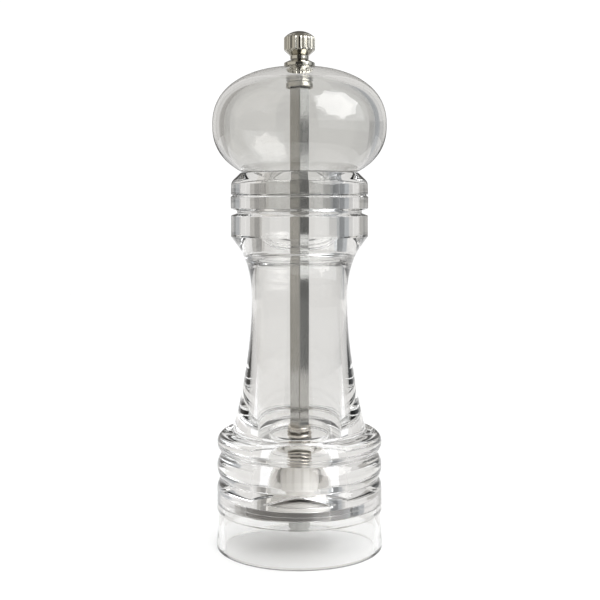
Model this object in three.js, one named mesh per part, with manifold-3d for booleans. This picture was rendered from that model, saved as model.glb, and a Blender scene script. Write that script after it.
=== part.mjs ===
// A clear acrylic pepper mill. A hollow ball head turns on a waisted body and drives a square
// spindle, which carries the male ceramic burr. The female burr, its plate and a three-armed
// bridge sit in the body's foot. The knob on top screws along the spindle and sets how fine it grinds.
// Millimetres, +Z up, origin at the centre of the ring that the mill stands on.
import * as THREE from 'three';
import { mergeVertices } from 'three/addons/utils/BufferGeometryUtils.js';
import Module from 'manifold-3d';

const wasm = await Module();
wasm.setup();

// ---------------------------------------------------------------- driving dimensions

const GAP = 0.3; // clearance between pieces that touch or run in each other
const SHELL_SIDES = 40; // sides of the large turned pieces
const SMALL_SIDES = 24; // sides of the small turned pieces

const skirt = { footR: 32.05, top: 15.1, boreFootR: 29.2, boreR: 28.9, ceiling: 17.4, edge: 0.6 };
const flanges = { r: 31.9, bandLow: 17.4, bandHigh: 23.3, bandGroove: 27.2, ring: 31.8, ringGroove: 37.15 };
const flangeRound = { low: 3.7, high: 5.55, ring: 7.3 }; // radii of the flanges' mouldings
const collarRing = { z: 40.9, radius: 4.25 };
const waist = { r: 18.5, z: 95, footR: 25.9, footPower: 1.77, shoulderR: 22.6, shoulder: 114.7, shoulderPower: 2.5 };
const shoulder = { r: 26.5, bandLow: 120.2, bandHigh: 128.3, grooveR: 24.2, grooveLow: 129.1, grooveHigh: 130.2 };
const upperRing = { lowR: 26.6, highR: 26.7, low: 131.1, high: 135.5 };
const lip = { low: 136.6, high: 141.3, lowR: 26.6, r: 22.7, vGrooveR: 25.8 };
const body = { top: 145, mouthR: 15.7, mouthEnd: 117, neckR: 14.6, neck: 115.6 };
const hopperBore = { r: 17, top: 111.6, floor: 43.3 }; // rounded shoulder above, flat floor below
const burrBore = { r: 12.4, recessR: 20.9, recess: 19.3 };

const head = { bottom: 145.3, centre: 163.3, r: 33.85, up: 22.9, down: 22.4, power: 2.3, footR: 22.8 };
const hollow = { r: 29.6, up: 19.4, down: 18.6, openR: 19.4, holeR: 5.25 };
const plug = { top: 147.6, spigotR: 15.4, spigotBoreR: 13.2, spigotEnd: 130.4, holeR: 4.6 };

const ferrule = { flangeR: 6.05, top: 188.5, chamfer: 187.6, seat: 186.3, r: 4.95, step: 181.2, tailR: 4.4, end: 179.3 };
const ferruleNut = { r: 5.4, low: 178.8, high: 180.9, round: 0.7 };
const knob = { r: 6.1, neckR: 3.6, low: 188.9, neckTop: 190.5, capLow: 192.4, capHigh: 197.6, top: 200 };
const knobFlutes = { count: 18, depth: 0.45 };
const knobBore = { r: 2.7, end: 197 };

const spindle = { side: 5.3, end: 8.8, tailSide: 4, tailTop: 20.55, squareTop: 185.5, threadR: 2.4, top: 196 };
const collar = { r: 4.6, low: 43, high: 44.6 };
const spring = { low: 31.3, high: 42.6, meanR: 4.4, wire: 1.1, turns: 5.5 };
const washer = { r: 5.2, low: 30.1, high: 30.9 };
const rotor = { low: 20.7, high: 28.4, lowR: 9, highR: 6.6, hubR: 5.4, hubTop: 29.8, teeth: 14, tooth: 0.8, twist: 0.05 };
const clip = { r: 5.1, low: 19.4, high: 20.4 };
const stator = { r: 12.1, low: 19.3, high: 27, mouthR: 11.5, throat: 24.6, throatR: 9.6, outletR: 10.6, teeth: 20, tooth: 0.6 };
const plate = { r: 20.6, low: 17, high: 19, holeR: 11 };
const bridge = { low: 15.1, high: 16.7, hubR: 7.4, armR: 19.4, armWidth: 7, holeR: 4.05 };
const bush = { r: 4.2, low: 8, stemR: 3.75, lipR: 4.3, lipTop: 18 };
const screw = { circle: 16.5, headR: 2.6, headLow: 13.4, shankR: 1.35, end: 18.7, point: 0.5, holeR: 1.65, slot: 0.7 };

const ARMS = 3;

// ---------------------------------------------------------------- finishes

function finish(color, roughness, metalness, opacity = 1) {
  return new THREE.MeshStandardMaterial({ color, roughness, metalness, opacity, transparent: opacity < 1 });
}
const acrylic = finish(0xe9ebea, 0.05, 0, 0.35);
const nickel = finish(0xc9c4b8, 0.18, 1);
const barSteel = finish(0x9c9a93, 0.3, 1);
const springSteel = finish(0xb3a99a, 0.28, 1);
const ceramic = finish(0xdedbd6, 0.3, 0);
const plateSteel = finish(0x8b8681, 0.3, 1);
const nylon = finish(0xc9c9c6, 0.45, 0);

// ---------------------------------------------------------------- outlines and solids

// An outline is a list of [radius, height] points. crown() is a round moulding: an arc whose
// crest stands at radius crestR and height crestZ, run from height fromZ to height toZ.
function crown(crestR, crestZ, radius, fromZ, toZ, steps) {
  const from = Math.asin((fromZ - crestZ) / radius);
  const to = Math.asin((toZ - crestZ) / radius);
  const points = [];
  for (let i = 0; i <= steps; i++) {
    const angle = from + ((to - from) * i) / steps;
    points.push([crestR - radius + radius * Math.cos(angle), crestZ + radius * Math.sin(angle)]);
  }
  return points;
}

// A superellipse from the lower radius, round the equator, to the upper radius.
function ball(ballR, down, up, lowR, highR, steps) {
  const low = Math.acos((lowR / ballR) ** (head.power / 2));
  const high = Math.acos((highR / ballR) ** (head.power / 2));
  const points = [];
  for (let i = 0; i <= steps; i++) {
    const angle = -low + ((low + high) * i) / steps;
    const rise = angle < 0 ? -down : up;
    const r = ballR * Math.cos(angle) ** (2 / head.power);
    points.push([r, head.centre + rise * Math.abs(Math.sin(angle)) ** (2 / head.power)]);
  }
  return points;
}

function turned(outline, sides = SMALL_SIDES) {
  const points = outline.map(([r, z]) => new THREE.Vector2(r, z));
  return new THREE.LatheGeometry(points, sides).rotateX(Math.PI / 2);
}

// A ring has its outline closed by repeating the first point.
function ring(outline, sides = SMALL_SIDES) {
  return turned([...outline, outline[0]], sides);
}

function cylinder(r, low, high, sides = SMALL_SIDES) {
  return turned([[0, low], [r, low], [r, high], [0, high]], sides);
}

// A square bar stands with one edge towards the front.
function squareBar(side, low, high) {
  const bar = new THREE.BoxGeometry(side, side, high - low);
  return bar.rotateZ(Math.PI / 4).translate(0, 0, (low + high) / 2);
}

// Pushes the wall between two heights and two radii in and out, as teeth or flutes.
function toothed(geometry, { count, depth, twist = 0, minR, maxR }) {
  const points = geometry.attributes.position;
  for (let i = 0; i < points.count; i++) {
    const [x, y, z] = [points.getX(i), points.getY(i), points.getZ(i)];
    const r = Math.hypot(x, y);
    if (r < minR || r > maxR) continue;
    const turn = count * (Math.atan2(y, x) + twist * z);
    const scale = (r + (depth / 2) * Math.cos(turn)) / r;
    points.setXY(i, x * scale, y * scale);
  }
  return geometry;
}

function solid(geometry) {
  const bare = geometry.clone();
  bare.deleteAttribute('normal');
  bare.deleteAttribute('uv');
  const merged = mergeVertices(bare, 1e-4);
  const triVerts = new Uint32Array(merged.index.array);
  return new wasm.Manifold(new wasm.Mesh({
    numProp: 3,
    vertProperties: new Float32Array(merged.attributes.position.array),
    triVerts,
  }));
}

function geometryOf(manifold) {
  const mesh = manifold.getMesh();
  const geometry = new THREE.BufferGeometry();
  geometry.setAttribute('position', new THREE.BufferAttribute(new Float32Array(mesh.vertProperties), 3));
  geometry.setIndex(new THREE.BufferAttribute(new Uint32Array(mesh.triVerts), 1));
  geometry.computeVertexNormals();
  return geometry;
}

function cut(geometry, ...tools) {
  return geometryOf(tools.reduce((left, tool) => left.subtract(solid(tool)), solid(geometry)));
}

function joined(geometry, ...more) {
  return geometryOf(more.reduce((sum, part) => sum.add(solid(part)), solid(geometry)));
}

const squareHole = (side, low, high) => squareBar(side + 2 * GAP, low - 1, high + 1);

// The same geometry at each of the bridge's arms.
function atArms(geometry) {
  return Array.from({ length: ARMS }, (_, i) => geometry.clone().rotateZ(Math.PI / 2 + (i * 2 * Math.PI) / ARMS));
}

// ---------------------------------------------------------------- clear pieces

function waistOutline() {
  const points = [];
  const foot = collarRing.z + collarRing.radius;
  for (let i = 0; i <= 8; i++) {
    const t = 1 - i / 8;
    points.push([waist.r + (waist.footR - waist.r) * t ** waist.footPower, waist.z - (waist.z - foot) * t]);
  }
  for (let i = 1; i <= 6; i++) {
    const t = (i + 1) / 7;
    const r = waist.r + (waist.shoulderR - waist.r) * t ** waist.shoulderPower;
    points.push([r, waist.z + (waist.shoulder - waist.z) * t]);
  }
  return points;
}

// A quarter of an ellipse, from the neck down to the hopper's wall.
function hopperShoulder() {
  const points = [];
  for (let i = 1; i <= 5; i++) {
    const angle = (i * Math.PI) / 10;
    const r = body.neckR + (hopperBore.r - body.neckR) * Math.sin(angle);
    points.push([r, hopperBore.top + (body.neck - hopperBore.top) * Math.cos(angle)]);
  }
  return points;
}

function bodyShell() {
  const { r, bandLow, bandHigh, bandGroove, ring: ringZ, ringGroove } = flanges;
  const outside = [
    [skirt.footR - skirt.edge, 0],
    [skirt.footR, skirt.edge],
    ...crown(r, bandLow, flangeRound.low, skirt.top, bandLow, 2),
    ...crown(r, bandHigh, flangeRound.high, bandHigh, bandGroove, 3),
    ...crown(r, ringZ, flangeRound.ring, bandGroove, ringGroove, 6).slice(1),
    ...crown(r, collarRing.z, collarRing.radius, ringGroove + 0.15, collarRing.z + collarRing.radius, 7),
    ...waistOutline(),
    [shoulder.r, shoulder.bandLow],
    [shoulder.r, shoulder.bandHigh],
    [shoulder.grooveR, shoulder.grooveLow],
    [shoulder.grooveR, shoulder.grooveHigh],
    [upperRing.lowR, upperRing.low],
    [upperRing.highR, upperRing.high],
    [lip.vGrooveR, (upperRing.high + lip.low) / 2],
    [lip.lowR, lip.low],
    [shoulder.r, lip.high],
    [lip.r, body.top],
  ];
  const inside = [
    [body.mouthR, body.top],
    [body.mouthR, body.mouthEnd],
    [body.neckR, body.neck],
    ...hopperShoulder(),
    [hopperBore.r, hopperBore.floor],
    [burrBore.r, hopperBore.floor],
    [burrBore.r, burrBore.recess],
    [burrBore.recessR, burrBore.recess],
    [burrBore.recessR, skirt.ceiling],
    [skirt.boreR, skirt.ceiling],
    [skirt.boreFootR, 0],
  ];
  return ring([...outside, ...inside], SHELL_SIDES);
}

function headDome() {
  const outside = ball(head.r, head.down, head.up, head.footR, hollow.holeR, 17);
  const inside = ball(hollow.r, hollow.down, hollow.up, hollow.openR, hollow.holeR, 11).reverse();
  return ring([[head.footR, head.bottom], ...outside, ...inside, [hollow.openR, head.bottom]], SHELL_SIDES);
}

function headPlug() {
  const discR = hollow.openR - GAP;
  return ring([
    [plug.spigotR, plug.spigotEnd],
    [plug.spigotR, head.bottom],
    [discR, head.bottom],
    [discR, plug.top],
    [plug.holeR, plug.top],
    [plug.holeR, head.bottom],
    [plug.spigotBoreR, head.bottom - 1],
    [plug.spigotBoreR, plug.spigotEnd],
  ], SHELL_SIDES);
}

// ---------------------------------------------------------------- knob and ferrule

function knobNut() {
  const capR = knob.r - 0.2;
  const cap = turned([
    [0, knob.low],
    [knob.neckR, knob.low],
    [knob.neckR, knob.neckTop],
    [capR - 0.6, knob.capLow - 0.6],
    [capR, knob.capLow + 0.1],
    [capR, knob.capHigh],
    [capR - 0.4, knob.capHigh + 0.7],
    [4.3, knob.top - 0.9],
    [2.3, knob.top - 0.25],
    [0, knob.top],
  ], knobFlutes.count * 2);
  toothed(cap, { count: knobFlutes.count, depth: knobFlutes.depth, minR: capR - 0.5, maxR: knob.r });
  return cut(cap, cylinder(knobBore.r, knob.low - 1, knobBore.end, 16));
}

function headFerrule() {
  const outside = turned([
    [0, ferrule.end],
    [ferrule.tailR, ferrule.end],
    [ferrule.tailR, ferrule.step],
    [ferrule.r, ferrule.step],
    [ferrule.r, ferrule.seat],
    [ferrule.flangeR, ferrule.seat],
    [ferrule.flangeR, ferrule.chamfer],
    [ferrule.flangeR - 2, ferrule.top],
    [0, ferrule.top],
  ]);
  return cut(outside, squareHole(spindle.side, ferrule.end, ferrule.top));
}

function ferruleRing() {
  const { r, low, high, round } = ferruleNut;
  const inner = ferrule.tailR + GAP;
  return ring([[r - round, low], [r, low + round], [r, high], [inner, high], [inner, low]]);
}

// ---------------------------------------------------------------- spindle group

function spindleBar() {
  return joined(
    squareBar(spindle.tailSide, spindle.end, spindle.tailTop + 0.5),
    squareBar(spindle.side, spindle.tailTop, spindle.squareTop),
    cylinder(spindle.threadR, spindle.squareTop - 1, spindle.top, 16),
  );
}

function springCollar() {
  const { r, low, high } = collar;
  const outside = turned([[0, low], [r, low], [r, high - 0.4], [r - 0.4, high], [0, high]]);
  return cut(outside, squareHole(spindle.side, low, high));
}

class Helix extends THREE.Curve {
  constructor(radius, low, high, turns) {
    super();
    Object.assign(this, { radius, low, high, turns });
  }

  getPoint(t, target = new THREE.Vector3()) {
    const angle = 2 * Math.PI * this.turns * t;
    const z = this.low + (this.high - this.low) * t;
    return target.set(this.radius * Math.cos(angle), this.radius * Math.sin(angle), z);
  }
}

function rotorSpring() {
  const wireR = spring.wire / 2;
  const path = new Helix(spring.meanR, spring.low + wireR, spring.high - wireR, spring.turns);
  const section = new THREE.Shape(
    Array.from({ length: 6 }, (_, i) => {
      const angle = (i * Math.PI) / 3;
      return new THREE.Vector2(wireR * Math.cos(angle), wireR * Math.sin(angle));
    }),
  );
  return new THREE.ExtrudeGeometry(section, { steps: Math.round(spring.turns * 14), extrudePath: path });
}

function springWasher() {
  const inner = spring.meanR - spring.wire / 2;
  return ring([[inner, washer.low], [washer.r, washer.low], [washer.r, washer.high], [inner, washer.high]]);
}

function rotorBurr() {
  const wall = [];
  const steps = 4;
  for (let i = 0; i <= steps; i++) {
    const t = i / steps;
    wall.push([rotor.lowR + (rotor.highR - rotor.lowR) * t, rotor.low + (rotor.high - rotor.low) * t]);
  }
  const outside = turned(
    [[0, rotor.low], ...wall, [rotor.hubR, rotor.high], [rotor.hubR, rotor.hubTop], [0, rotor.hubTop]],
    rotor.teeth * 3,
  );
  const teeth = { count: rotor.teeth, depth: rotor.tooth, twist: rotor.twist, minR: rotor.highR - 0.1, maxR: 12 };
  return cut(toothed(outside, teeth), squareHole(spindle.side, rotor.low, rotor.hubTop));
}

function rotorClip() {
  const inner = (spindle.tailSide / 2) * Math.SQRT2 + GAP;
  return ring([[inner, clip.low], [clip.r, clip.low], [clip.r, clip.high], [inner, clip.high]]);
}

// ---------------------------------------------------------------- grinder in the foot

function screwHoles(low, high) {
  return atArms(cylinder(screw.holeR, low - 1, high, 12).translate(screw.circle, 0, 0));
}

function statorBurr() {
  const { r, low, high, mouthR, throat, throatR, outletR } = stator;
  const bottomR = outletR + (stator.tooth / 2);
  const outside = ring([
    [outletR, low],
    [r, low],
    [r, high],
    [mouthR, high],
    [throatR, throat],
    [(throatR + outletR) / 2, (throat + low) / 2],
  ], stator.teeth * 3);
  return toothed(outside, { count: stator.teeth, depth: stator.tooth, minR: throatR - 0.1, maxR: bottomR });
}

function mountingPlate() {
  const { r, low, high, holeR } = plate;
  const disc = ring([[holeR, low], [r, low], [r, high], [holeR, high]], SHELL_SIDES);
  return cut(disc, ...screwHoles(low, high + 1));
}

function outletBridge() {
  const { low, high, hubR, armR, armWidth, holeR } = bridge;
  const straight = armR - armWidth / 2;
  const arm = new THREE.BoxGeometry(straight, armWidth, high - low).translate(straight / 2, 0, (low + high) / 2);
  const end = cylinder(armWidth / 2, low, high, SMALL_SIDES).translate(straight, 0, 0);
  const star = joined(cylinder(hubR, low, high), ...atArms(arm), ...atArms(end));
  return cut(star, cylinder(holeR, low - 1, high + 1), ...screwHoles(low, high + 1));
}

function guideBush() {
  const { r, low, stemR, lipR, lipTop } = bush;
  const outside = turned([
    [0, low],
    [r - 0.3, low],
    [r, low + 0.3],
    [r, bridge.low - GAP],
    [stemR, bridge.low - GAP],
    [stemR, bridge.high + GAP],
    [lipR, bridge.high + GAP],
    [lipR - 0.4, lipTop],
    [0, lipTop],
  ]);
  return cut(outside, squareHole(spindle.tailSide, low, lipTop));
}

function bridgeScrew() {
  const seat = bridge.low - GAP;
  const pan = turned([
    [0, screw.headLow],
    [screw.headR - 0.5, screw.headLow],
    [screw.headR, screw.headLow + 0.5],
    [screw.headR, seat],
    [screw.shankR, seat],
    [screw.shankR, screw.end - screw.point],
    [screw.shankR - screw.point, screw.end],
    [0, screw.end],
  ], 16);
  const slot = new THREE.BoxGeometry(screw.slot, 2 * screw.headR + 1, 1.2).translate(0, 0, screw.headLow);
  return cut(pan, slot).translate(screw.circle, 0, 0);
}

// ---------------------------------------------------------------- assembly

function named(name, geometry, material) {
  const mesh = new THREE.Mesh(geometry, material);
  mesh.name = name;
  return mesh;
}

const fixedBody = new THREE.Group();
fixedBody.add(
  named('body_shell', bodyShell(), acrylic),
  named('stator', statorBurr(), ceramic),
  named('mounting_plate', mountingPlate(), plateSteel),
  named('outlet_bridge', outletBridge(), nickel),
  ...atArms(bridgeScrew()).map((geometry, i) => named(`bridge_screw_${i + 1}`, geometry, nickel)),
);

const spindleGroup = new THREE.Group();
spindleGroup.add(
  named('spindle', spindleBar(), barSteel),
  named('spring_collar', springCollar(), springSteel),
  named('rotor_spring', rotorSpring(), springSteel),
  named('spring_washer', springWasher(), nickel),
  named('rotor', rotorBurr(), ceramic),
  named('rotor_clip', rotorClip(), springSteel),
);

const turningHead = new THREE.Group();
turningHead.add(
  named('head_dome', headDome(), acrylic),
  named('head_plug', headPlug(), acrylic),
  named('head_ferrule', headFerrule(), nickel),
  named('ferrule_nut', ferruleRing(), nickel),
);

const pepperMill = new THREE.Group();
pepperMill.add(fixedBody, named('guide_bush', guideBush(), nylon), spindleGroup, turningHead);
pepperMill.add(named('knob_nut', knobNut(), nickel));

export default pepperMill;
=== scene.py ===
import math

import bmesh
import bpy
from bpy.props import FloatProperty, FloatVectorProperty, IntProperty, PointerProperty
from mathutils import Matrix, Vector


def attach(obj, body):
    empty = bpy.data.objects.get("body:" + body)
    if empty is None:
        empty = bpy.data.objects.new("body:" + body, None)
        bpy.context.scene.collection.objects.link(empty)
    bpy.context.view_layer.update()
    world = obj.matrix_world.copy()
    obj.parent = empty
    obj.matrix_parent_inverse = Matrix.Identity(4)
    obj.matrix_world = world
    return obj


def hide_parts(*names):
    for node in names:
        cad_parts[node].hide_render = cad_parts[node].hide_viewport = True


bl_info = {
    "name": "Clear Pepper Mill",
    "version": (1, 0, 0),
    "blender": (4, 5, 0),
    "location": "3D View > Sidebar > Pepper Mill",
    "description": "Builds a clear acrylic pepper mill with its spindle, spring and burrs",
    "category": "Add Mesh",
}

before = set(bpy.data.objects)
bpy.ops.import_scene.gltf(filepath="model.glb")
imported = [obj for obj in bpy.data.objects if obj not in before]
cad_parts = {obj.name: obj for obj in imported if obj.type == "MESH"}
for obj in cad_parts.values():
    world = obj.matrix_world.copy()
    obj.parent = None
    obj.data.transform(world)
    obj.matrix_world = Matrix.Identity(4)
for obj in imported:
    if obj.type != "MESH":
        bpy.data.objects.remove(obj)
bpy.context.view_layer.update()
MM = 0.001
BODY = "foot_and_body"


# ------------------------------------------------------------------ sizes and colours

def length(name, description, millimetres):
    """A length property whose default is given in millimetres."""
    return FloatProperty(name=name, description=description, default=millimetres * MM, unit="LENGTH")


def tint(name, description, rgb):
    """A linear colour property."""
    return FloatVectorProperty(
        name=name, description=description, default=rgb, subtype="COLOR", size=3, min=0, max=1
    )


class MILL_PG_sizes(bpy.types.PropertyGroup):
    """Sizes that are finer than the frame's own"""

    facets: IntProperty(name="Facets", description="Sides of the large turned pieces", default=192, min=32, max=256)
    edge: length("Edge", "Radius of the polished edges of the clear pieces", 0.35)
    wire: length("Wire", "Diameter of the spring's wire", 1.1)
    pitch: length("Thread pitch", "Pitch of the thread that the knob runs on", 0.8)
    flute: length("Flute", "Depth of the knob's flutes", 0.34)
    bar: length("Bar", "Side of the square spindle", 5.6)
    flat: length("Flat", "Width taken off the spindle's edges", 0.4)


class MILL_PG_colours(bpy.types.PropertyGroup):
    """Colours of the mill's finishes"""

    body: tint("Body", "Tint of the body's thick acrylic", (0.93, 0.93, 0.925))
    head: tint("Head", "Tint of the head's thin acrylic", (0.83, 0.83, 0.82))
    nickel: tint("Nickel", "Nickel plate", (0.52, 0.50, 0.44))
    bar: tint("Bar", "Drawn spindle bar", (0.46, 0.45, 0.425))
    spring: tint("Spring", "Plated spring wire", (0.70, 0.66, 0.60))
    burr: tint("Burr", "Fired ceramic of the burrs", (0.80, 0.78, 0.75))
    plate: tint("Plate", "Stamped plate", (0.15, 0.142, 0.135))
    nylon: tint("Nylon", "Natural nylon", (0.62, 0.62, 0.60))
    floor: tint("Floor", "Studio floor", (0.98, 0.98, 0.98))


# ------------------------------------------------------------------ outlines, in millimetres

def arc(r, z, radius, start, end, steps):
    """Points of an arc about (r, z), between two angles in degrees from the radius."""
    points = []
    for i in range(steps + 1):
        angle = math.radians(start + (end - start) * i / steps)
        points.append((r + radius * math.cos(angle), z + radius * math.sin(angle)))
    return points


def crown(crest_r, crest_z, radius, low, high, steps):
    """A round moulding, whose arc has its crest at (crest_r, crest_z)."""
    start = math.degrees(math.asin((low - crest_z) / radius))
    end = math.degrees(math.asin((high - crest_z) / radius))
    return arc(crest_r - radius, crest_z, radius, start, end, steps)


def rounded(corners, closed=True, steps=6, guard=0.12):
    """An outline through corners (r, z) or (r, z, fillet). Fillets become arcs, and each straight
    stretch gets a point close to either end, which keeps flat faces flat under smooth shading."""
    n = len(corners)
    points = []
    for i, corner in enumerate(corners):
        here = Vector(corner[:2])
        fillet = corner[2] if len(corner) > 2 else 0
        if not closed and i in (0, n - 1):
            points.append([here])
            continue
        back = (Vector(corners[i - 1][:2]) - here)
        ahead = (Vector(corners[(i + 1) % n][:2]) - here)
        if fillet <= 0:
            points.append([here])
            continue
        half = back.angle(ahead) / 2
        reach = min(fillet / math.tan(half), back.length * 0.49, ahead.length * 0.49)
        radius = reach * math.tan(half)
        centre = here + (back.normalized() + ahead.normalized()).normalized() * (radius / math.sin(half))
        first = here + back.normalized() * reach - centre
        last = here + ahead.normalized() * reach - centre
        turn = first.angle_signed(last)
        stretch = []
        for k in range(steps + 1):
            swing = Matrix.Rotation(-turn * k / steps, 2)
            stretch.append(centre + swing @ first)
        points.append(stretch)
    outline = []
    count = n if closed else n - 1
    for i in range(n):
        outline += points[i]
        if i >= count:
            break
        a, b = points[i][-1], points[(i + 1) % n][0]
        span = (b - a).length
        if span > 4 * guard:
            outline += [a + (b - a) * (guard / span), b - (b - a) * (guard / span)]
    return [tuple(p) for p in outline]


# ------------------------------------------------------------------ bmesh helpers

def turned(outline, sides, closed=True, keep=None):
    """A bmesh spun about the vertical axis from an outline in millimetres."""
    bm = keep or bmesh.new()
    verts = [bm.verts.new((r * MM, 0, z * MM)) for r, z in outline]
    ends = list(zip(verts, verts[1:] + verts[:1])) if closed else list(zip(verts, verts[1:]))
    edges = [bm.edges.new(pair) for pair in ends]
    bmesh.ops.spin(
        bm, geom=verts + edges, cent=(0, 0, 0), axis=(0, 0, 1), angle=2 * math.pi,
        steps=sides, use_merge=True, use_duplicate=False,
    )
    bmesh.ops.remove_doubles(bm, verts=bm.verts, dist=1e-7)
    return bm


def coil(bm, section, turns, pitch, steps):
    """Winds a section up round the vertical axis. section is an outline in millimetres, or the face
    that the last winding ended with, and the face that this one ends with is returned."""
    face = section
    if not isinstance(section, bmesh.types.BMFace):
        face = bm.faces.new([bm.verts.new((r * MM, 0, z * MM)) for r, z in section])
    count = round(turns * steps)
    result = bmesh.ops.spin(
        bm, geom=[*face.verts, *face.edges, face], cent=(0, 0, 0), axis=(0, 0, 1),
        angle=2 * math.pi * turns, dvec=(0, 0, pitch * turns / count * MM), steps=count, use_duplicate=False,
    )
    return next(part for part in result["geom_last"] if isinstance(part, bmesh.types.BMFace))


def square_hole(bm, side, bore):
    """Makes the bore of a turned bmesh square, with a corner towards the front. side and bore, the
    radius that it was turned with, are in millimetres."""
    for vert in bm.verts:
        r = math.hypot(vert.co.x, vert.co.y)
        if r > (bore + 0.02) * MM:
            continue
        bearing = math.atan2(vert.co.y, vert.co.x) - math.pi / 4
        reach = side / 2 * MM / max(abs(math.cos(bearing)), abs(math.sin(bearing)))
        vert.co.x *= reach / r
        vert.co.y *= reach / r
    return bm


def finish_piece(bm, name, material, body, nodes, smooth=True, sharp=None):
    """Makes the bmesh a piece of the mill that rides on a body and stands for CAD nodes."""
    bmesh.ops.recalc_face_normals(bm, faces=bm.faces)
    mesh = bpy.data.meshes.new(name)
    bm.to_mesh(mesh)
    bm.free()
    for face in mesh.polygons:
        face.use_smooth = smooth
    if sharp:
        mesh.set_sharp_from_angle(angle=math.radians(sharp))
    piece = bpy.data.objects.new(name, mesh)
    bpy.context.scene.collection.objects.link(piece)
    mesh.materials.append(material)
    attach(piece, body)
    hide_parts(*nodes)
    if material.name.endswith("acrylic"):
        piece.visible_shadow = False
    return piece


# ------------------------------------------------------------------ materials

def new_material(name):
    """A material with one Principled shader, and its node tree."""
    material = bpy.data.materials.new(name)
    material.use_nodes = True
    tree = material.node_tree
    tree.nodes.clear()
    shader = tree.nodes.new("ShaderNodeBsdfPrincipled")
    output = tree.nodes.new("ShaderNodeOutputMaterial")
    tree.links.new(shader.outputs["BSDF"], output.inputs["Surface"])
    return material, tree, shader


def object_noise(tree, scale, stretch=(1, 1, 1), detail=4.0):
    """Noise on Object coordinates, with features about 1/scale metres across."""
    coordinates = tree.nodes.new("ShaderNodeTexCoord")
    mapping = tree.nodes.new("ShaderNodeMapping")
    mapping.inputs["Scale"].default_value = stretch
    noise = tree.nodes.new("ShaderNodeTexNoise")
    noise.inputs["Scale"].default_value = scale
    noise.inputs["Detail"].default_value = detail
    tree.links.new(coordinates.outputs["Object"], mapping.inputs["Vector"])
    tree.links.new(mapping.outputs["Vector"], noise.inputs["Vector"])
    return noise.outputs["Fac"]


def ranged(tree, value, low, high):
    """Maps a 0 to 1 value on to low to high."""
    ramp = tree.nodes.new("ShaderNodeMapRange")
    ramp.inputs["From Min"].default_value = 0.3
    ramp.inputs["From Max"].default_value = 0.7
    ramp.inputs["To Min"].default_value = low
    ramp.inputs["To Max"].default_value = high
    tree.links.new(value, ramp.inputs["Value"])
    return ramp.outputs["Result"]


def bumped(tree, shader, height, strength, distance):
    """Feeds a height to the shader's normal."""
    bump = tree.nodes.new("ShaderNodeBump")
    bump.inputs["Strength"].default_value = strength
    bump.inputs["Distance"].default_value = distance
    tree.links.new(height, bump.inputs["Height"])
    tree.links.new(bump.outputs["Normal"], shader.inputs["Normal"])


def clear_acrylic(name, colour):
    """Polished clear acrylic with faint smudges."""
    material, tree, shader = new_material(name)
    shader.inputs["Base Color"].default_value = (*colour, 1)
    shader.inputs["Transmission Weight"].default_value = 1.0
    shader.inputs["IOR"].default_value = 1.49
    shader.inputs["Metallic"].default_value = 0.0
    smudge = object_noise(tree, 60)
    tree.links.new(ranged(tree, smudge, 0.0, 0.02), shader.inputs["Roughness"])
    return material


def metal(name, colour, rough, grain, bump, spread=0.08):
    """Plated or drawn metal, with a grain of the given scale and stretch."""
    material, tree, shader = new_material(name)
    shader.inputs["Metallic"].default_value = 1.0
    scale, stretch = grain
    noise = object_noise(tree, scale, stretch)
    mix = tree.nodes.new("ShaderNodeMix")
    mix.data_type = "RGBA"
    mix.inputs["A"].default_value = (*[c * 0.9 for c in colour], 1)
    mix.inputs["B"].default_value = (*colour, 1)
    tree.links.new(noise, mix.inputs["Factor"])
    tree.links.new(mix.outputs["Result"], shader.inputs["Base Color"])
    tree.links.new(ranged(tree, noise, rough, rough + spread), shader.inputs["Roughness"])
    bumped(tree, shader, noise, bump, 0.0002)
    return material


def nickel():
    colour = bpy.context.scene.mill_colours.nickel
    return metal("nickel_plate", colour, 0.09, (900, (1, 1, 1)), 0.015)


def bar_steel():
    colour = bpy.context.scene.mill_colours.bar
    return metal("drawn_bar", colour, 0.1, (1400, (1, 1, 0.01)), 0.05)


def spring_steel():
    colour = bpy.context.scene.mill_colours.spring
    return metal("spring_wire", colour, 0.15, (2000, (1, 1, 1)), 0.05)


def ceramic():
    """Fired ceramic with a faint mottle."""
    return dull("fired_ceramic", bpy.context.scene.mill_colours.burr, 700, 0.3, 0.06)


def plate_steel():
    colour = bpy.context.scene.mill_colours.plate
    return metal("stamped_plate", colour, 0.3, (1200, (1, 1, 1)), 0.02)


def nylon():
    """Natural nylon."""
    return dull("natural_nylon", bpy.context.scene.mill_colours.nylon, 500, 0.4, 0.1)


def dull(name, colour, scale, rough, bump):
    """A moulded or fired material, mottled at the given scale."""
    material, tree, shader = new_material(name)
    noise = object_noise(tree, scale)
    mix = tree.nodes.new("ShaderNodeMix")
    mix.data_type = "RGBA"
    mix.inputs["A"].default_value = (*[c * 0.93 for c in colour], 1)
    mix.inputs["B"].default_value = (*colour, 1)
    tree.links.new(noise, mix.inputs["Factor"])
    tree.links.new(mix.outputs["Result"], shader.inputs["Base Color"])
    shader.inputs["Roughness"].default_value = rough
    bumped(tree, shader, noise, bump, 0.0001)
    return material


def get_material(name, make):
    return bpy.data.materials.get(name) or make()


# ------------------------------------------------------------------ clear pieces

def waist_outline():
    points = []
    low, narrow, high = 45.15, 95.0, 114.7
    for i in range(41):
        t = 1 - i / 40
        points.append((18.5 + 7.4 * t ** 1.77, narrow - (narrow - low) * t))
    for i in range(1, 25):
        t = i / 24
        points.append((18.5 + 4.1 * t ** 2.5, narrow + (high - narrow) * t))
    return points


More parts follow.
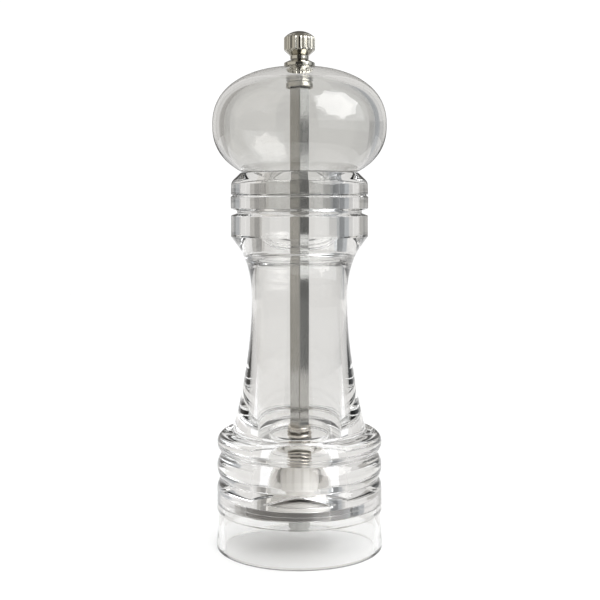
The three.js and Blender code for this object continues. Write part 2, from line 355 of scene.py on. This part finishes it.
class MILL_OT_body(bpy.types.Operator):
    """Turns the clear body with its rings, waist, flanges and skirt"""

    bl_idname = "mill.body"
    bl_label = "Body"

    def execute(self, context):
        sizes = context.scene.mill_sizes
        edge = sizes.edge / MM
        foot = [(31.05, 0.0), *arc(31.05, 1.0, 1.0, -90, 0, 10)[1:]]
        outside = [
            *foot,
            (32.0, 3.0), (31.14, 14.2), (31.2, 14.6), *arc(31.3, 15.2, 0.6, -60, 0, 6), (31.9, 15.6),
            (31.9, 20.0),
            *crown(31.9, 23.3, 5.55, 23.3, 27.2, 10),
            *crown(31.9, 31.8, 7.3, 27.2, 37.15, 22)[1:],
            *crown(31.9, 40.9, 4.25, 37.3, 45.15, 26),
            (26.4, 45.15),
            *waist_outline(),
        ]
        hopper = [
            (14.6 + 2.4 * math.sin(math.radians(a)), 111.6 + 4.0 * math.cos(math.radians(a)))
            for a in range(6, 91, 6)
        ]
        shoulder = rounded([
            (22.6, 114.7), (26.5, 120.2, edge), (26.5, 128.3, edge), (24.2, 129.1, edge), (24.2, 130.2, edge),
            (26.6, 131.1, edge), (26.7, 135.5, edge), (25.8, 136.05, 0.2), (26.6, 136.6, edge),
            (26.5, 141.3, 3.0), (22.7, 145, 1.2), (15.7, 145, edge), (15.7, 117, edge), (14.6, 115.6, 0.5),
            *hopper, (17, 43.3, 0.15), (12.4, 43.3, edge), (12.4, 19.3, 0.2), (20.9, 19.3, 0.2),
            (20.9, 17.4, 0.15), (28.85, 17.4, 0.4), (29.2, 0.9, 0.4), (29.8, 0, 0.3), (31.0, 0),
        ], closed=False)
        outline = outside + shoulder[1:]
        bm = turned(outline, sizes.facets)
        piece = finish_piece(
            bm, "clear_body", clear_acrylic("body_acrylic", context.scene.mill_colours.body), BODY, ["body_shell"]
        )
        return {"FINISHED"}


def ball(radius, down, up, low_r, high_r, steps, power=2.3, centre=163.3):
    """A superellipse from a lower radius, round the equator, to an upper radius."""
    low = math.acos((low_r / radius) ** (power / 2))
    high = math.acos((high_r / radius) ** (power / 2))
    points = []
    for i in range(steps + 1):
        angle = -low + (low + high) * i / steps
        rise = -down if angle < 0 else up
        r = radius * math.cos(angle) ** (2 / power)
        points.append((r, centre + rise * abs(math.sin(angle)) ** (2 / power)))
    return points


class MILL_OT_head(bpy.types.Operator):
    """Turns the hollow ball head and the disc that closes it"""

    bl_idname = "mill.head"
    bl_label = "Head"

    def execute(self, context):
        sizes = context.scene.mill_sizes
        material = clear_acrylic("head_acrylic", context.scene.mill_colours.head)
        outside = ball(33.85, 22.4, 22.9, 22.8, 4.9, 110)
        inside = ball(29.6, 21.3, 19.4, 19.9, 4.9, 80)[::-1]
        outline = [(22.5, 145.35), *outside, *inside, (19.0, 146.2), (4.9, 146.2), (4.6, 145.9), (4.6, 145.35)]
        finish_piece(
            turned(outline, sizes.facets), "clear_dome", material, "head", ["head_dome"]
        )
        disc = rounded([
            (15.4, 130.4, 0.5), (15.4, 145.3, 0.2), (4.6, 145.3, 0.2), (4.6, 144.7, 0.2), (13.2, 144.3, 0.5),
            (13.2, 130.4, 0.5),
        ])
        finish_piece(
            turned(disc, sizes.facets), "clear_plug", material, "head", ["head_plug"]
        )
        return {"FINISHED"}


# ------------------------------------------------------------------ knob and ferrule

class MILL_OT_knob(bpy.types.Operator):
    """Turns the fluted adjusting knob"""

    bl_idname = "mill.knob"
    bl_label = "Knob"

    def execute(self, context):
        depth = context.scene.mill_sizes.flute / MM
        outline = [
            (0, 188.9), (2.4, 188.9), *arc(3.4, 189.1, 0.2, -90, 0, 4), (3.6, 189.4), (3.6, 190.0),
            *arc(3.9, 190.2, 0.3, 180, 120, 4),
            *arc(5.05, 193.0, 1.0, -60, 0, 8), (6.05, 193.3), (6.05, 195.5), (6.05, 196.7),
            *arc(4.75, 196.8, 1.3, 0, 46, 10),
            *arc(0, 191.8, 8.2, 49, 90, 16),
        ]
        outline = [(r, z) for r, z in outline]
        bm = turned(outline, 18 * 14, closed=False)
        for vert in bm.verts:
            r, z = math.hypot(vert.co.x, vert.co.y) / MM, vert.co.z / MM
            if r < 4.6 or z < 192.0:
                continue
            turn = 18 * math.atan2(vert.co.y, vert.co.x)
            fade = min(1, (z - 192.2) / 0.7) * min(1, max(0, (198.3 - z) / 1.0))
            groove = max(0, math.cos(turn)) ** 0.7 if math.cos(turn) > 0 else 0
            scale = (r - depth * groove * fade) / r
            vert.co.x *= scale
            vert.co.y *= scale
        finish_piece(bm, "fluted_knob", get_material("nickel_plate", nickel), "knob", ["knob_nut"])
        return {"FINISHED"}


class MILL_OT_ferrule(bpy.types.Operator):
    """Turns the ferrule through the head and the ring that holds it"""

    bl_idname = "mill.ferrule"
    bl_label = "Ferrule"

    def execute(self, context):
        material = get_material("nickel_plate", nickel)
        tube = rounded([
            (3.9, 179.3), (4.4, 179.3, 0.1), (4.4, 181.2, 0.1), (4.95, 181.2, 0.15), (4.95, 186.3, 0.1),
            (6.0, 186.3, 0.25), (6.0, 187.6, 0.25), (4.1, 188.45, 0.15), (3.9, 188.45),
        ])
        bm = square_hole(turned(tube, 96), 5.8, 3.9)
        finish_piece(bm, "ferrule", material, "head", ["head_ferrule"], sharp=40)
        ring = rounded([
            (4.7, 178.8, 0.2), (5.4, 178.8, 0.7), (5.4, 180.9, 0.2), (4.7, 180.9, 0.1),
        ])
        finish_piece(turned(ring, 96), "ferrule_ring", material, "head", ["ferrule_nut"])
        return {"FINISHED"}


# ------------------------------------------------------------------ spindle group

class MILL_OT_spindle(bpy.types.Operator):
    """Draws the square spindle, its collar, clip and washer"""

    bl_idname = "mill.spindle"
    bl_label = "Spindle"

    def execute(self, context):
        sizes = context.scene.mill_sizes
        bar = bmesh.new()
        for side, low, high in ((4 * MM, 8.8, 20.7), (sizes.bar, 20.55, 185.5)):
            made = bmesh.ops.create_cube(bar, size=1)["verts"]
            bmesh.ops.scale(bar, vec=(side, side, (high - low) * MM), verts=made)
            bmesh.ops.rotate(bar, cent=(0, 0, 0), matrix=Matrix.Rotation(math.pi / 4, 3, "Z"), verts=made)
            bmesh.ops.translate(bar, vec=(0, 0, (low + high) / 2 * MM), verts=made)
        bmesh.ops.bevel(
            bar, geom=list(bar.edges), offset=sizes.flat, affect="EDGES", segments=1, profile=0.5, material=-1
        )
        turned([(0, 184.5), (2.0, 184.5), (2.0, 195.7), (1.7, 196), (0, 196)], 48, closed=False, keep=bar)
        pitch = sizes.pitch / MM
        ridge = [(1.9, 186), (2.35, 186 + 0.4 * pitch), (2.35, 186 + 0.5 * pitch), (1.9, 186 + 0.9 * pitch)]
        coil(bar, ridge, 11, pitch, 36)
        finish_piece(
            bar, "square_spindle", get_material("drawn_bar", bar_steel), "spindle_set", ["spindle"],
            sharp=35,
        )
        spring = get_material("spring_wire", spring_steel)
        for name, node, material, slot, bore, side, outline in (
            ("collar", "spring_collar", spring, "spring_steel", 3.8, 5.7,
             [(3.8, 43), (4.6, 43, 0.2), (4.6, 44.6, 0.4), (3.8, 44.6)]),
            ("washer", "spring_washer", get_material("nickel_plate", nickel), "nickel", 3.8, 5.7,
             [(3.8, 30.1), (5.2, 30.1, 0.2), (5.2, 30.9, 0.2), (3.8, 30.9)]),
            ("clip", "rotor_clip", spring, "spring_steel", 2.9, 4.2,
             [(2.9, 19.4), (5.1, 19.4, 0.2), (5.1, 20.4, 0.2), (2.9, 20.4)]),
        ):
            bm = square_hole(turned(rounded(outline), 64), side, bore)
            finish_piece(bm, name, material, "spindle_set", [node], sharp=40)
        return {"FINISHED"}


class MILL_OT_spring(bpy.types.Operator):
    """Coils the spring"""

    bl_idname = "mill.spring"
    bl_label = "Spring"

    def execute(self, context):
        wire = context.scene.mill_sizes.wire / MM
        low, high, turns, closed_turns = 31.3 + wire / 2, 42.6 - wire / 2, 5.5, 0.9
        rise = (high - low - 2 * closed_turns * wire) / (turns - 2 * closed_turns)
        bm = bmesh.new()
        section = arc(4.4, low, wire / 2, 0, 360 - 22.5, 15)
        last = coil(bm, section, closed_turns, wire, 40)
        last = coil(bm, last, turns - 2 * closed_turns, rise, 40)
        coil(bm, last, closed_turns, wire, 40)
        bmesh.ops.remove_doubles(bm, verts=bm.verts, dist=1e-7)
        finish_piece(
            bm, "coil_spring", get_material("spring_wire", spring_steel), "spindle_set", ["rotor_spring"],
        )
        return {"FINISHED"}


# ------------------------------------------------------------------ grinder

def toothed(bm, count, depth, low_r, high_r, twist=0.0):
    """Cuts teeth into the wall between two radii."""
    for vert in bm.verts:
        r = math.hypot(vert.co.x, vert.co.y) / MM
        if not low_r <= r <= high_r:
            continue
        turn = count * (math.atan2(vert.co.y, vert.co.x) + twist * vert.co.z / MM)
        saw = (turn / (2 * math.pi)) % 1.0
        push = depth * (0.5 - abs(saw - 0.3) / 0.7 if saw > 0.3 else saw / 0.3 - 0.5)
        vert.co.x *= (r + push) / r
        vert.co.y *= (r + push) / r


class MILL_OT_burrs(bpy.types.Operator):
    """Turns and cuts the two burrs"""

    bl_idname = "mill.burrs"
    bl_label = "Burrs"

    def execute(self, context):
        material = get_material("fired_ceramic", ceramic)
        stator = rounded([
            (10.6, 19.3, 0.15), (12.1, 19.3, 0.2), (12.1, 27, 0.3), (11.5, 27, 0.15), (9.6, 24.6, 0.4),
            (10.1, 21.5),
        ])
        bm = turned(stator, 240)
        toothed(bm, 20, 0.6, 9.4, 10.75)
        finish_piece(bm, "female_burr", material, BODY, ["stator"], sharp=40)
        rotor = rounded([
            (3.8, 20.7), (9.0, 20.7, 0.2), (6.6, 28.4, 0.2), (5.4, 28.4, 0.2), (5.4, 29.8, 0.3), (3.8, 29.8),
        ], guard=0.3)
        bm = turned(rotor, 14 * 16)
        toothed(bm, 14, 0.8, 7.3, 9.2, 0.05)
        square_hole(bm, 5.7, 3.8)
        finish_piece(bm, "male_burr", material, "spindle_set", ["rotor"], sharp=40)
        return {"FINISHED"}


class MILL_OT_plate(bpy.types.Operator):
    """Stamps the round plate and moulds the bush that guides the spindle's tail"""

    bl_idname = "mill.plate"
    bl_label = "Plate and Bush"

    def execute(self, context):
        plate = rounded([(11, 17.0, 0.2), (20.75, 17.0, 0.2), (20.75, 19.15, 0.1), (11, 19.15, 0.2)])
        finish_piece(
            turned(plate, 192), "round_plate", get_material("stamped_plate", plate_steel), BODY,
            ["mounting_plate"],
        )
        bush = rounded([
            (2.9, 7.7), (4.2, 7.7, 0.35), (4.2, 14.8, 0.2), (3.75, 14.8, 0.1), (3.75, 17.0, 0.1),
            (4.3, 17.0, 0.1), (4.0, 18.0, 0.2), (2.9, 18.0),
        ])
        bm = square_hole(turned(bush, 64), 4.3, 2.9)
        finish_piece(
            bm, "bush", get_material("natural_nylon", nylon), "bush", ["guide_bush"], sharp=40
        )
        return {"FINISHED"}


def star_outline(hub, arm, width, arms, first):
    """The outline in millimetres of a hub with round-ended arms. first is an arm's bearing."""
    half = width / 2
    root = math.asin(half / hub)
    points = []
    for k in range(arms):
        turn = first + 2 * math.pi * k / arms
        straight = arm - half
        local = [(hub * math.cos(-root), -half)]
        local += [(straight + half * math.cos(a), half * math.sin(a))
                  for a in (math.radians(d) for d in range(-90, 91, 15))]
        local.append((hub * math.cos(root), half))
        points += [(x * math.cos(turn) - y * math.sin(turn), x * math.sin(turn) + y * math.cos(turn))
                   for x, y in local]
        sweep = 2 * math.pi / arms - 2 * root
        for i in range(1, 8):
            bearing = turn + root + sweep * i / 8
            points.append((hub * math.cos(bearing), hub * math.sin(bearing)))
    return points


def circle_outline(x, y, r, count):
    return [(x + r * math.cos(2 * math.pi * i / count), y + r * math.sin(2 * math.pi * i / count))
            for i in range(count)]


class MILL_OT_bridge(bpy.types.Operator):
    """Stamps the three-armed bridge under the plate"""

    bl_idname = "mill.bridge"
    bl_label = "Bridge"

    def execute(self, context):
        low, high, arms = 15.1, 16.7, 3
        bm = bmesh.new()
        loops = [star_outline(7.4, 19.4, 7.0, arms, math.pi / 2), circle_outline(0, 0, 4.05, 48)]
        for k in range(arms):
            bearing = math.pi / 2 + 2 * math.pi * k / arms
            loops.append(circle_outline(16.5 * math.cos(bearing), 16.5 * math.sin(bearing), 1.65, 24))
        for loop in loops:
            verts = [bm.verts.new((x * MM, y * MM, low * MM)) for x, y in loop]
            for pair in zip(verts, verts[1:] + verts[:1]):
                bm.edges.new(pair)
        bmesh.ops.triangle_fill(bm, use_beauty=True, use_dissolve=False, edges=bm.edges)
        up = bmesh.ops.extrude_face_region(bm, geom=list(bm.faces), use_keep_orig=True)
        raised = [part for part in up["geom"] if isinstance(part, bmesh.types.BMVert)]
        bmesh.ops.translate(bm, vec=(0, 0, (high - low) * MM), verts=raised)
        bmesh.ops.recalc_face_normals(bm, faces=bm.faces)
        rims = [edge for edge in bm.edges if len(edge.link_faces) == 2
                and abs(edge.calc_face_angle() - math.pi / 2) < 0.05
                and abs(edge.verts[0].co.z - edge.verts[1].co.z) < 1e-6]
        bmesh.ops.bevel(
            bm, geom=rims, offset=0.2 * MM, affect="EDGES", segments=2, profile=0.5, material=-1
        )
        finish_piece(
            bm, "three_arm_bridge", get_material("nickel_plate", nickel), BODY, ["outlet_bridge"],
            sharp=30,
        )
        return {"FINISHED"}


class MILL_OT_screws(bpy.types.Operator):
    """Turns the three slotted screws of the bridge"""

    bl_idname = "mill.screws"
    bl_label = "Screws"

    def execute(self, context):
        for k in range(3):
            pan = rounded([
                (0, 13.4), (1.5, 13.45, 0.8), (2.6, 14.0, 0.4), (2.6, 14.8, 0.1), (1.2, 14.8), (1.2, 18.4),
                (0, 18.7),
            ], closed=False)
            bm = turned(pan, 48, closed=False)
            coil(bm, [(1.1, 15.1), (1.35, 15.3), (1.35, 15.36), (1.1, 15.56)], 5, 0.6, 24)
            for side in (-0.35, 0.35):
                bmesh.ops.bisect_plane(
                    bm, geom=[*bm.verts, *bm.edges, *bm.faces], plane_co=(side * MM, 0, 0), plane_no=(1, 0, 0)
                )
            bmesh.ops.recalc_face_normals(bm, faces=bm.faces)
            floor = [face for face in bm.faces if face.calc_center_median().z < 14.05 * MM
                     and abs(face.calc_center_median().x) < 0.34 * MM and face.normal.z < -0.3]
            cut = bmesh.ops.extrude_face_region(bm, geom=floor)
            sunk = [part for part in cut["geom"] if isinstance(part, bmesh.types.BMVert)]
            for vert in sunk:
                vert.co.z = 14.2 * MM
            bmesh.ops.translate(bm, vec=(16.5 * MM, 0, 0), verts=bm.verts)
            turn = Matrix.Rotation(math.pi / 2 + 2 * math.pi * k / 3, 3, "Z")
            bmesh.ops.rotate(bm, cent=(0, 0, 0), matrix=turn, verts=bm.verts)
            finish_piece(
                bm, f"slotted_screw_{k + 1}", get_material("nickel_plate", nickel), BODY,
                [f"bridge_screw_{k + 1}"], sharp=30,
            )
        return {"FINISHED"}


# ------------------------------------------------------------------ stage

def glow_material(name, colour, strength):
    """An emitter for the boards that stand round the set."""
    material = bpy.data.materials.new(name)
    material.use_nodes = True
    tree = material.node_tree
    tree.nodes.clear()
    glow = tree.nodes.new("ShaderNodeEmission")
    glow.inputs["Color"].default_value = (*colour, 1)
    glow.inputs["Strength"].default_value = strength
    output = tree.nodes.new("ShaderNodeOutputMaterial")
    tree.links.new(glow.outputs["Emission"], output.inputs["Surface"])
    return material


def stage_board(bm, name, colour, strength, seen="both"):
    """A board of the set, seen only in gloss, only through clear pieces, or in both."""
    mesh = bpy.data.meshes.new(name)
    bm.to_mesh(mesh)
    bm.free()
    mesh.materials.append(glow_material(name, colour, strength))
    board = bpy.data.objects.new(name, mesh)
    bpy.context.scene.collection.objects.link(board)
    board.visible_camera = False
    board.visible_glossy = seen != "clear"
    board.visible_transmission = seen != "gloss"
    board.visible_diffuse = False
    board.visible_shadow = False
    return board


def curved_board(name, start, end, inner, outer, colour, strength, seen="both"):
    """A board spun about the mill between two bearings in degrees, clockwise from straight behind
    it. inner and outer are (radius, height) in metres; equal radii make a wall, equal heights a mat."""
    bm = bmesh.new()
    verts = [bm.verts.new((0, r, z)) for r, z in (inner, outer)]
    edge = bm.edges.new(verts)
    bmesh.ops.rotate(bm, cent=(0, 0, 0), matrix=Matrix.Rotation(-math.radians(start), 3, "Z"), verts=verts)
    bmesh.ops.spin(
        bm, geom=[*verts, edge], cent=(0, 0, 0), axis=(0, 0, 1), angle=-math.radians(end - start),
        steps=max(2, round((end - start) / 3)),
    )
    return stage_board(bm, name, colour, strength, seen)


def umbrella(place, aim, wide, tall, strength):
    """A studio umbrella with eight scalloped panels, whose half width and half height are given."""
    bm = bmesh.new()
    bmesh.ops.create_circle(bm, cap_ends=True, radius=1, segments=96)
    for vert in bm.verts:
        bearing = math.atan2(vert.co.y, vert.co.x)
        vert.co *= 1 - 0.2 * abs(math.sin(4 * bearing))
    bmesh.ops.scale(bm, vec=(wide, tall, 1), verts=bm.verts)
    turn = (Vector(aim) - Vector(place)).to_track_quat("Z", "Y").to_matrix().to_4x4()
    bmesh.ops.transform(bm, matrix=Matrix.Translation(place) @ turn, verts=bm.verts)
    return stage_board(bm, "umbrella", (1, 1, 1), strength)


class MILL_OT_stage(bpy.types.Operator):
    """Lays the floor, lights the set and places the camera"""

    bl_idname = "mill.stage"
    bl_label = "Stage"

    def execute(self, context):
        scene = context.scene
        scene.view_settings.view_transform = "Standard"
        scene.view_settings.look = "None"
        scene.cycles.use_denoising = True
        scene.cycles.max_bounces = 32
        scene.cycles.transmission_bounces = 32
        scene.cycles.transparent_max_bounces = 16

        world = bpy.data.worlds.new("studio")
        world.use_nodes = True
        world.node_tree.nodes["Background"].inputs["Color"].default_value = (1, 1, 1, 1)
        world.node_tree.nodes["Background"].inputs["Strength"].default_value = 1.05
        scene.world = world

        bm = bmesh.new()
        bmesh.ops.create_grid(bm, x_segments=2, y_segments=2, size=30)
        mesh = bpy.data.meshes.new("floor")
        bm.to_mesh(mesh)
        bm.free()
        floor = bpy.data.objects.new("floor", mesh)
        scene.collection.objects.link(floor)
        material, tree, shader = new_material("floor")
        shader.inputs["Base Color"].default_value = (*scene.mill_colours.floor, 1)
        shader.inputs["Roughness"].default_value = 0.8
        mesh.materials.append(material)

        warm, cool, plain = (1, 0.97, 0.92), (0.94, 0.97, 1), (1, 0.985, 0.965)
        wall, roof, eye, table = 1.2, 2.4, 0.26, 0.1
        for name, start, end, low, high, colour, strength, seen in (
            ("back", -20, 20, 0, roof, plain, 0.85, "clear"),
            ("back_gloss", -20, 20, 0, roof, warm, 0.2, "gloss"),
            ("left_back", -38, -20, 0, roof, plain, 0.75, "both"),
            ("left_band", -56, -38, 0, roof, warm, 0.45, "both"),
            ("left_side", -78, -56, 0, roof, warm, 0.3, "both"),
            ("left", -150, -78, 0, roof, warm, 0.85, "both"),
            ("front_gloss", -205, -150, 0, roof, warm, 0.06, "gloss"),
            ("front", -205, -150, 0, roof, plain, 0.65, "clear"),
            ("right_gloss", 78, 155, 0, roof, cool, 0.9, "gloss"),
            ("right_high", 78, 155, eye, roof, cool, 2.0, "clear"),
            ("right_low", 78, 112, 0, eye, cool, 0.24, "clear"),
            ("right_front_low", 112, 155, 0, eye, cool, 0.6, "clear"),
            ("right_side", 56, 78, 0, roof, cool, 0.24, "both"),
            ("right_band", 38, 56, 0, roof, cool, 0.45, "both"),
            ("right_back_high", 20, 38, eye, roof, plain, 0.8, "both"),
            ("right_back", 20, 38, table, eye, plain, 0.6, "both"),
            ("right_back_low", 20, 38, 0, table, plain, 0.65, "both"),
        ):
            curved_board(name, start, end, (wall, low), (wall, high), colour, strength, seen)
        for name, start, end, near, colour, strength, seen in (
            ("left_mat", -150, -60, 0.2, warm, 0.75, "both"),
            ("right_mat", 60, 155, 0.2, cool, 0.35, "both"),
            ("front_gloss_mat", -205, -150, 0.2, warm, 0.15, "gloss"),
            ("front_mat", -210, -145, 0.05, plain, 0.7, "clear"),
            ("back_mat", -60, 60, 0.05, plain, 0.85, "clear"),
        ):
            curved_board(name, start, end, (near, 0.001), (wall, 0.001), colour, strength, seen)
        curved_board("roof", 0, 360, (0, roof), (wall, roof), warm, 0.3, "gloss")
        umbrella((0.527, -0.343, 0.574), (0, 0, 0.165), 0.42, 0.42, 5.5)

        key = bpy.data.lights.new("key", "AREA")
        key.energy, key.size = 6, 0.9
        light = bpy.data.objects.new("key", key)
        light.location = (0.7, -0.8, 1.4)
        light.rotation_euler = (Vector((0, 0, 0.1)) - light.location).to_track_quat("-Z", "Y").to_euler()
        light.visible_glossy = False
        light.visible_transmission = False
        scene.collection.objects.link(light)

        lens = bpy.data.cameras.new("camera")
        lens.lens, lens.sensor_width, lens.shift_y = 69.7, 36, -0.1783
        camera = bpy.data.objects.new("camera", lens)
        camera.location = (0.0002, -0.452, 0.137)
        camera.rotation_euler = (math.radians(90), 0, 0)
        scene.collection.objects.link(camera)
        scene.camera = camera
        return {"FINISHED"}


class MILL_PT_panel(bpy.types.Panel):
    """Lists the mill's operators"""

    bl_label = "Pepper Mill"
    bl_idname = "MILL_PT_panel"
    bl_space_type = "VIEW_3D"
    bl_region_type = "UI"
    bl_category = "Pepper Mill"

    def draw(self, context):
        for operator in OPERATORS:
            self.layout.operator(operator.bl_idname)


OPERATORS = (
    MILL_OT_stage, MILL_OT_body, MILL_OT_head, MILL_OT_knob, MILL_OT_ferrule, MILL_OT_spindle,
    MILL_OT_spring, MILL_OT_burrs, MILL_OT_plate, MILL_OT_bridge, MILL_OT_screws,
)
CLASSES = (MILL_PG_sizes, MILL_PG_colours, *OPERATORS, MILL_PT_panel)


def register():
    for cls in CLASSES:
        bpy.utils.register_class(cls)
    bpy.types.Scene.mill_sizes = PointerProperty(type=MILL_PG_sizes)
    bpy.types.Scene.mill_colours = PointerProperty(type=MILL_PG_colours)


def unregister():
    del bpy.types.Scene.mill_colours
    del bpy.types.Scene.mill_sizes
    for cls in reversed(CLASSES):
        bpy.utils.unregister_class(cls)


def main():
    register()
    for operator in OPERATORS:
        group, name = operator.bl_idname.split(".")
        getattr(getattr(bpy.ops, group), name)()


if __name__ == "__main__":
    main()
